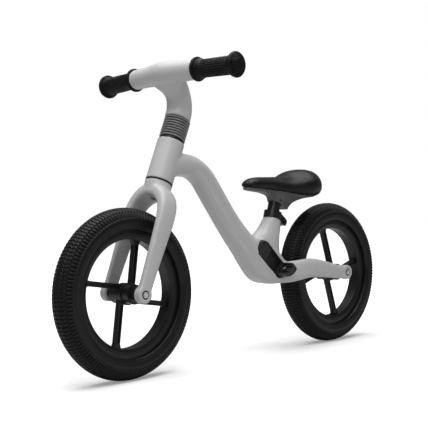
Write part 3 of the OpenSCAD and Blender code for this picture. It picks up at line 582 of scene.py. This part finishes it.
def pocket(side):
    """The closed block of a footrest tray's pocket, round at both ends."""
    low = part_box("footrest_tray_left")[0]
    foot = Vector((low.x + TRAY_R - TRAY_GAP, 0, low.z + TRAY_R - TRAY_GAP))
    along = Vector((math.cos(TRAY_ANGLE), 0, math.sin(TRAY_ANGLE)))
    across = Vector((-math.sin(TRAY_ANGLE), 0, math.cos(TRAY_ANGLE)))
    outline = []
    for centre, start in ((foot, math.pi / 2), (foot + along * TRAY_LEN, -math.pi / 2)):
        for k in range(TRAY_STEPS + 1):
            t = start + math.pi * k / TRAY_STEPS
            outline.append(centre + TRAY_R * (along * math.cos(t) + across * math.sin(t)))
    verts = [p + Vector((0, side * y, 0)) for y in (TRAY_BACK, TRAY_END) for p in outline]
    return verts, prism_faces(len(outline))


def recesses(x):
    """The round recesses for the axle bolts."""
    return [rod((x, side * (DROPOUT_OUT - BOLT_RECESS), AXLE_Z), (x, side * RECESS_END, AXLE_Z),
                RECESS_R) for side in (-1, 1)]


def bar_matrix(side):
    """From a bar end's own frame, Z along the bar, to the bike's."""
    flip = Matrix.Scale(-1, 4, (0, 1, 0)) if side < 0 else Matrix.Identity(4)
    return (flip @ Matrix.Translation(BAR_CENTRE) @ Matrix.Rotation(BAR_SWEEP, 4, "Z")
            @ Matrix.Rotation(-math.pi / 2 - BAR_DROP, 4, "X"))


def screw_holes():
    """The grub screws' holes under the bar and behind the stem."""
    holes = []
    for side in (-1, 1):
        m = bar_matrix(side)
        holes.append(rod(m @ Vector((0, BAR_SCREW_FROM, BAR_SCREW_AT)),
                         m @ Vector((0, SCREW_END, BAR_SCREW_AT)), SCREW_R, SCREW_SIDES))
    back = Vector((-math.cos(HEAD_ANGLE), 0, -math.sin(HEAD_ANGLE)))
    for above in NECK_SCREWS_UP:
        z = COLLAR_TOP + above
        centre = Vector((AXLE_X - z * math.sin(HEAD_ANGLE), 0, AXLE_Z + z * math.cos(HEAD_ANGLE)))
        holes.append(rod(centre + back * NECK_SCREW_FROM, centre + back * SCREW_END,
                         SCREW_R, SCREW_SIDES))
    return holes


def casting(name, node, body, voxel, rounds, blends=None, solids=(), extra=(), shape=None,
            material=paint):
    """A cast piece: even mesh, softly rounded edges, filleted joins, and crisp machined cuts.

    extra solids are merged in before the smoothing, which has so many rounds; blends weighs the
    points of the joins, shape changes the mesh in place, and solids are cut away last.
    """
    mesh = relax(remeshed(node, voxel, extra), rounds)
    if blends:
        relax(mesh, JOIN_ROUNDS, blends, **JOIN_SMOOTH)
    if shape:
        shape(mesh)
    if solids:
        mesh = cut(mesh, solids)
    dress(name, mesh, material, body, node)
    mesh.set_sharp_from_angle(angle=CRISP_ANGLE)


def sunk_bolts(node, body, material):
    """A copy of an axle's washers or bolts with the outer ends sunk into the recesses."""
    mesh = nodes[node].data.copy()
    points = coordinates(mesh)
    out = np.abs(points[:, 1])
    washer, head = DROPOUT_OUT, DROPOUT_OUT + WASHER_THICK
    depth = np.where(out > head - FACE_NEAR, BOLT_RECESS + (out - head) * HEAD_DRAWN_IN,
                     np.where(out > washer - FACE_NEAR, BOLT_RECESS, 0))
    points[:, 1] -= np.sign(points[:, 1]) * depth
    move_to(mesh, points)
    dress(node + "_sunk", mesh, material, body, node)
    mesh.set_sharp_from_angle(angle=BOLT_CRISP_ANGLE)


for end, body in (("front", "steering"), ("rear", "chassis")):
    sunk_bolts(end + "_axle_washers", body, trim_plastic)
    sunk_bolts(end + "_axle_bolts", body, steel)

casting("frame_casting", "frame", "chassis", voxel=0.0016, rounds=24, blends=frame_blends,
        solids=recesses(-AXLE_X) + [pocket(-1), pocket(1)],
        extra=[loft([web_row(*row) for row in WEB_ROWS])], shape=valley)
casting("fork_casting", "fork", "steering", voxel=0.0014, rounds=24, blends=fork_blends,
        solids=recesses(AXLE_X))
casting("stem_casting", "stem", "steering", voxel=0.0014, rounds=24, blends=stem_blends,
        solids=screw_holes(), extra=[loft([neck_row(*row) for row in NECK_ROWS])])
casting("saddle_shell", "saddle_base", "seat", voxel=0.0013, rounds=14, shape=drawn_in,
        material=base_plastic)


# ---- Steering collar ----

COLLAR_RIBS = 8
COLLAR_BORE_R, COLLAR_ROOT_R, COLLAR_CREST_R = 0.0201, 0.0218, 0.0244
COLLAR_STEP = 0.0006
COLLAR_ENDS = 0.0015
COLLAR_SIDES = 96
RIB_POINTS = 9
RIB_POWER = 0.45
# A rib's start and length, and its groove's start and end, as shares of the pitch.
RIB_FROM, RIB_LEN, GROOVE_FROM, GROOVE_TO = 0.30, 0.64, 0.98, 1.25


def ribbed_collar():
    """The collar between the head tube and the stem: round ribs coloured light grey as a painted
    highlight, over dark grooves.
    """
    z = up_axis(coordinates(nodes["steering_collar"].data))
    low, high = z.min(), z.max()
    pitch = (high - low - COLLAR_ENDS) / COLLAR_RIBS
    root = COLLAR_ROOT_R
    profile, dark = [(COLLAR_BORE_R, low), (root, low)], [True, True]
    for k in range(COLLAR_RIBS):
        start = low + COLLAR_STEP + k * pitch
        for t in np.linspace(0, 1, RIB_POINTS):
            bulge = math.sin(math.pi * t) ** RIB_POWER
            profile.append((root + COLLAR_STEP + (COLLAR_CREST_R - root - COLLAR_STEP) * bulge,
                            start + pitch * (RIB_FROM + RIB_LEN * t)))
        profile += [(root, start + pitch * GROOVE_FROM), (root, start + pitch * GROOVE_TO)]
        dark += [False] * (RIB_POINTS - 1) + [True] * 3
    profile += [(root, high), (COLLAR_BORE_R, high)]
    dark += [True, True]
    axis = Matrix.Translation((AXLE_X, 0, AXLE_Z)) @ Matrix.Rotation(-HEAD_ANGLE, 4, "Y")
    # The ribs take the light grey of the painted highlight, and the grooves and ends take the
    # black plastic.
    turned("collar_ribs", profile, COLLAR_SIDES,
           lambda angle, row: np.zeros((len(angle), row.size)), collar_rib_highlight_grey, "steering",
           "steering_collar", axis, second=(trim_plastic, dark))


ribbed_collar()


# ---- Tyres ----

TYRE_HALF_H = 0.025
TREAD_PITCHES = 132
SAMPLES_A_PITCH = 10
TREAD_DEPTH = 0.0019
# Degrees round the section from its widest point: down to the wall's end, up to the tread.
WALL_END = 28.0
EDGE_ANGLE = 19.0
# The tyre's lip in the rim: radius and half width, from the tyre's middle outwards.
TYRE_LIP = [(0.1122, 0.0125), (0.1121, 0.0160), (0.1121, 0.0188), (0.1127, 0.0214)]
# Places and widths across the tyre, as shares of the way from its middle to the tread's edge.
BLOCK_EDGE = (0.62, 0.65)
TREAD_EDGE = (0.975, 1.01)
GROOVE_LINES = (0.0, 0.32, 0.65)
GROOVE_HALF_W = 0.020
GROOVE_WEAVE = 0.020
SHOULDER_RING = (1.055, 0.034)
BEAD_RING = (1.53, 0.040)
RING_HEIGHT, BEAD_HEIGHT = 0.0015, 0.0006
# Depths as shares of the tread's depth.
SHOULDER_CUT, GROOVE_CUT, WALL_CUT = 1.3, 0.85, 0.8
# The cuts between blocks, round the tyre: how the zigzag runs, and the cuts' soft edges.
ZIGZAGS, ZIGZAG_SHIFT, ZIGZAG_SLANT = 2.6, 0.1, 0.28
CENTRE_EDGE, SIDE_EDGE = (0.66, 0.86), (0.5, 0.72)
# The lip's rows get an angle below the walls' rows, so that they keep their place.
LIP_MARK, WALL_MARK = -90.0, -60.0


def tyre(name, node, body):
    """A pneumatic tyre: zigzag centre blocks, shoulder blocks, a shoulder ring, smooth walls."""
    low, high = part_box(node)
    centre = (low + high) / 2
    half_w = (high.y - low.y) / 2
    mid = (high.z - low.z) / 2 - TYRE_HALF_H
    turn = np.radians(np.arange(180.0 + WALL_END, -WALL_END - 0.1, -2.0))
    section = [(mid + TYRE_HALF_H * math.sin(t), half_w * math.cos(t)) for t in turn]
    profile = [(r, -w) for r, w in TYRE_LIP] + section + [(r, w) for r, w in reversed(TYRE_LIP)]
    ends = [LIP_MARK] * len(TYRE_LIP)
    degrees = np.array(ends + list(np.degrees(turn)) + ends)
    across = np.abs(degrees - 90) / (90 - EDGE_ANGLE)
    tread = 1 - step_up(across, *TREAD_EDGE)
    ring, bead = [np.exp(-((across - at) / wide) ** 2) for at, wide in (SHOULDER_RING, BEAD_RING)]

    def height(angle, row):
        s = across[row]
        u = angle * TREAD_PITCHES / TAU
        zigzag = np.abs(((s * ZIGZAGS + ZIGZAG_SHIFT) % 1.0) * 2 - 1)
        centre_cut = np.abs(((u + ZIGZAG_SLANT * zigzag) % 1.0) - 0.5) * 2
        side_cut = np.abs(((u + 0.5) % 1.0) - 0.5) * 2
        inner = 1 - step_up(s, *BLOCK_EDGE)
        cut_here = (inner * step_up(centre_cut, *CENTRE_EDGE)
                    + (1 - inner) * SHOULDER_CUT * step_up(side_cut, *SIDE_EDGE))
        weave = GROOVE_WEAVE * np.cos(angle * TREAD_PITCHES)
        for line in GROOVE_LINES:
            groove = np.exp(-((s - line - weave * (line > 0)) / GROOVE_HALF_W) ** 2)
            cut_here = np.maximum(cut_here, GROOVE_CUT * groove)
        tread_cut = -TREAD_DEPTH * np.clip(cut_here, 0, SHOULDER_CUT) * tread[row]
        wall = -TREAD_DEPTH * WALL_CUT * (1 - tread[row]) * (degrees[row] > WALL_MARK)
        return tread_cut + wall + RING_HEIGHT * ring[row] + BEAD_HEIGHT * bead[row]

    matrix = Matrix.Translation(centre) @ Matrix.Rotation(math.pi / 2, 4, "X")
    turned(name, profile, TREAD_PITCHES * SAMPLES_A_PITCH, height, side_rubber, body, node,
           matrix, second=(tread_rubber, across < 1.0))


tyre("front_tyre_tread", "front_tyre", "front_wheel_set")
tyre("rear_tyre_tread", "rear_tyre", "rear_wheel_set")


# ---- Grips ----

GRIP_START = 0.0805
GRIP_LEN = 0.0995
GRIP_R = 0.0159
GRIP_SWELL = 0.0003
GRIP_BORE_R = 0.0112
FLANGE_R = 0.0220
BALL_R = 0.0226
BALL_HALF = 0.0105
BALL_AT = GRIP_LEN - BALL_HALF
BODY_LOW, BODY_HIGH = 0.0220, BALL_AT - 0.0125
GRIP_RIBS = 26
GRIP_SIDES = 12 * GRIP_RIBS
DOT_PITCH = 0.0030
RIB_HEIGHT, DOT_HEIGHT, BALL_RING_DEPTH = 0.00042, 0.0016, 0.0019
# The dots' fade, along the grip and round it (as a cosine from the top).
DOTS_ALONG, DOTS_ROUND = (0.034, 0.046), (0.45, 0.75)
# The rings in the ball: place and width, in degrees of its section.
BALL_RINGS = ((-30, 3.6), (-13, 3.6), (26, 2.6), (37, 2.6), (48, 2.6), (60, 2.8))


def arc(radius, along, half_r, half_a, degrees):
    """Profile points on an oval round (radius, along)."""
    return [(radius + half_r * math.cos(t), along + half_a * math.sin(t))
            for t in np.radians(degrees)]


def grip(name, node, side):
    """Rubber grip: flange, ring, ribbed and dotted body, and a ringed mushroom end."""
    flange = arc(FLANGE_R - 0.0026, 0.0031, 0.0026, 0.0031, np.arange(-90, 91, 12))
    groove = [(FLANGE_R - 0.0052, 0.0071), (FLANGE_R - 0.0056, 0.0080)]
    collar = arc(GRIP_R + 0.0004, 0.0104, 0.0026, 0.0024, np.arange(-70, 71, 14))
    ease = [(GRIP_R + 0.0014 * (1 - t) ** 2, 0.0130 + 0.009 * t) for t in np.linspace(0, 1, 8)]
    body = [(GRIP_R + GRIP_SWELL * t, BODY_LOW + (BODY_HIGH - BODY_LOW) * t)
            for t in np.linspace(0, 1, 84)[1:]]
    swell = [(GRIP_R + GRIP_SWELL + 0.0013 * t * t, BODY_HIGH + 0.005 * t)
             for t in np.linspace(0, 1, 7)[1:]]
    lean = np.arange(-48.0, 88.0, 2.0)
    ball = [(BALL_R * max(math.cos(t), 0.0) ** 0.8, BALL_AT + BALL_HALF * math.sin(t))
            for t in np.radians(lean)]
    before = [(GRIP_BORE_R, 0.0)] + flange + groove + collar + ease + body + swell
    profile = before + ball + [(0.0006, GRIP_LEN)]
    along = np.array([p[1] for p in profile])
    on_body = band(along, (0.015, 0.020), (BALL_AT - 0.015, BALL_AT - 0.011))
    on_ball = slice(len(before), len(before) + len(ball))
    at_ball = np.zeros(len(profile))
    at_ball[on_ball] = 1
    tilt = np.full(len(profile), -90.0)
    tilt[on_ball] = lean
    top = math.radians(-90)

    def height(angle, row):
        z = along[row]
        ribs = RIB_HEIGHT * np.clip(np.cos(angle * GRIP_RIBS) * 1.5, -1, 1)
        dots = ((np.cos(angle * GRIP_RIBS) * 0.5 + 0.5)
                * (np.cos(z / DOT_PITCH * TAU) * 0.5 + 0.5))
        dotted = step_up(z, *DOTS_ALONG) * step_up(np.cos(angle - top), *DOTS_ROUND)
        texture = ribs * (1 - dotted) + DOT_HEIGHT * (dots - 0.4) * dotted
        rings = sum(np.exp(-((tilt[row] - at) / wide) ** 2) for at, wide in BALL_RINGS)
        broken = 0.75 + 0.25 * np.cos(angle * 9)
        return texture * on_body[row] - BALL_RING_DEPTH * rings * at_ball[row] * broken

    matrix = bar_matrix(side) @ Matrix.Translation((0, 0, GRIP_START))
    piece = turned(name, profile, GRIP_SIDES, height, grip_rubber, "steering", node,
                   matrix)
    if side < 0:
        piece.data.flip_normals()


grip("left_grip_rubber", "grip_left", 1)
grip("right_grip_rubber", "grip_right", -1)


# ---- Saddle pad ----

PAD_VOXEL = 0.0045
PAD_SEAM = (0.002, 0.012)
PAD_SHARES = (1.0, 0.99, 1.0)
PAD_CAP = 0.0045
PAD_PRESSURE = 3.0
PAD_STIFFNESS = 40
CLOTH_FRAMES = 16
HUMP_X, HUMP_HALF_L, HUMP_RISE = -0.172, 0.026, 0.0018


def inflated(piece, start):
    """The piece's points after it is filled as cloth, moved by no more than the cap."""
    floor_z = start[:, 2].min()
    group = piece.vertex_groups.new(name="held")
    for i, p in enumerate(start):
        held = 1 - step_up(p[2] - floor_z, *PAD_SEAM)
        group.add([i], float(held), "REPLACE")
    cloth = piece.modifiers.new("fill", "CLOTH")
    cloth.settings.use_pressure = True
    cloth.settings.uniform_pressure_force = PAD_PRESSURE
    cloth.settings.vertex_group_mass = "held"
    cloth.settings.effector_weights.gravity = 0
    cloth.settings.tension_stiffness = PAD_STIFFNESS
    cloth.settings.compression_stiffness = PAD_STIFFNESS
    cloth.settings.quality = 6
    cloth.point_cache.frame_start = 1
    cloth.point_cache.frame_end = 20
    for f in range(1, CLOTH_FRAMES + 1):
        scene.frame_set(f)
    deps = bpy.context.evaluated_depsgraph_get()
    filled = coordinates(piece.evaluated_get(deps).to_mesh()).copy()
    scene.frame_set(1)
    piece.modifiers.remove(cloth)
    move = filled - start
    size = np.linalg.norm(move, axis=1, keepdims=True)
    return start + move * np.minimum(1.0, PAD_CAP / np.maximum(size, 1e-9))


def saddle_pad():
    """The padded top: inflated as cloth inside the model's own outline, with a low hump."""
    mesh = relax(remeshed("saddle_pad", PAD_VOXEL), rounds=6)
    start = coordinates(mesh)
    centre = start.mean(axis=0)
    start = centre + (start - centre) * PAD_SHARES
    move_to(mesh, start)
    piece = dress("saddle_cushion", mesh, saddle_leather, "seat", "saddle_pad")
    move_to(mesh, inflated(piece, start))
    relax(mesh, rounds=5)
    points = coordinates(mesh)
    rise = step_up(points[:, 2], start[:, 2].min() + PAD_SEAM[1], start[:, 2].max())
    hump = np.exp(-((points[:, 0] - HUMP_X) / HUMP_HALF_L) ** 2)
    points[:, 2] += HUMP_RISE * hump * rise
    move_to(mesh, points)
    smooth = piece.modifiers.new("smooth", "SUBSURF")
    smooth.levels = 1
    smooth.render_levels = 1


saddle_pad()


# ---- Studio ----

WHITE = (1, 1, 1, 1)
FLOOR_COLOR = (*grey(0.6), 1)
FLOOR_HALF = 9
GLOW_NEAR, GLOW_FAR = 0.27, 1.0
GLOW_START, GLOW_END = 0.35, 1.6
SKY_LIGHT = 0.18


def seen_directly(tree):
    """1 for rays from the camera or through glass, 0 for all others."""
    rays = add(tree, "ShaderNodeLightPath").outputs
    return add(tree, "ShaderNodeMath", rays["Is Camera Ray"], rays["Is Transmission Ray"],
               operation="MAXIMUM").outputs[0]


def floor_material():
    """Takes shadow near the bike, and runs into white further out."""
    mat = bpy.data.materials.new("floor_white")
    tree = bare_tree(mat)
    where = add(tree, "ShaderNodeTexCoord").outputs["Object"]
    away = add(tree, "ShaderNodeVectorMath", where, operation="LENGTH")
    glow = add(tree, "ShaderNodeMapRange", away.outputs["Value"], From_Min=GLOW_START,
               From_Max=GLOW_END, To_Min=GLOW_NEAR, To_Max=GLOW_FAR)
    level = add(tree, "ShaderNodeMath", seen_directly(tree), glow.outputs["Result"],
                operation="MULTIPLY")
    light = add(tree, "ShaderNodeEmission")
    tree.links.new(level.outputs[0], light.inputs["Strength"])
    matt = add(tree, "ShaderNodeBsdfDiffuse", Color=FLOOR_COLOR)
    both = add(tree, "ShaderNodeAddShader", matt.outputs[0], light.outputs[0])
    add(tree, "ShaderNodeOutputMaterial", both.outputs[0])
    return mat


def studio_world():
    """White to look at, and a soft light on the bike."""
    world = bpy.data.worlds.new("studio")
    tree = bare_tree(world)
    level = add(tree, "ShaderNodeMapRange", seen_directly(tree), To_Min=SKY_LIGHT, To_Max=1.0)
    sky = add(tree, "ShaderNodeBackground", Color=WHITE)
    tree.links.new(level.outputs["Result"], sky.inputs["Strength"])
    add(tree, "ShaderNodeOutputWorld", sky.outputs[0])
    return world


def lamp(name, place_at, aim, size, power):
    """A square soft box."""
    data = bpy.data.lights.new(name, "AREA")
    data.shape = "SQUARE"
    data.size = size
    data.energy = power
    thing = in_scene(name, data)
    thing.location = place_at
    thing.rotation_euler = (Vector(aim) - Vector(place_at)).to_track_quat("-Z", "Y").to_euler()


corners = [(-FLOOR_HALF, -FLOOR_HALF, 0), (FLOOR_HALF, -FLOOR_HALF, 0),
           (FLOOR_HALF, FLOOR_HALF, 0), (-FLOOR_HALF, FLOOR_HALF, 0)]
floor_mesh = bpy.data.meshes.new("floor")
floor_mesh.from_pydata(corners, [], [(0, 1, 2, 3)])
floor_mesh.materials.append(floor_material())
floor = in_scene("floor", floor_mesh)

scene.world = studio_world()
lamp("overhead", place_at=(0.15, 0.1, 2.1), aim=(0.15, 0.1, 0), size=2.3, power=88)
lamp("near_top", place_at=(1.0, 0.75, 1.35), aim=(0.19, 0, 0.52), size=0.8, power=8)


# ---- Camera ----

CAMERA_AT = (1.33509, 1.23238, 0.29008)
YAW, PITCH, ROLL = math.radians(-135.9), math.radians(-0.204), math.radians(-1.643)
FOCAL_LENGTH = 77.8601776
SENSOR_WIDTH = 36.0

ahead = Vector((math.cos(YAW) * math.cos(PITCH), math.sin(YAW) * math.cos(PITCH),
                math.sin(PITCH)))
right = ahead.cross(Vector((0, 0, 1))).normalized()
up = right.cross(ahead)
level_right = right * math.cos(ROLL) + up * math.sin(ROLL)
level_up = up * math.cos(ROLL) - right * math.sin(ROLL)
turn = Matrix((level_right, level_up, -ahead)).transposed()
lens = bpy.data.cameras.new("camera")
lens.sensor_width = SENSOR_WIDTH
lens.lens = FOCAL_LENGTH
camera = in_scene("camera", lens)
camera.matrix_world = Matrix.Translation(CAMERA_AT) @ turn.to_4x4()
scene.camera = camera
scene.view_settings.view_transform = "Standard"
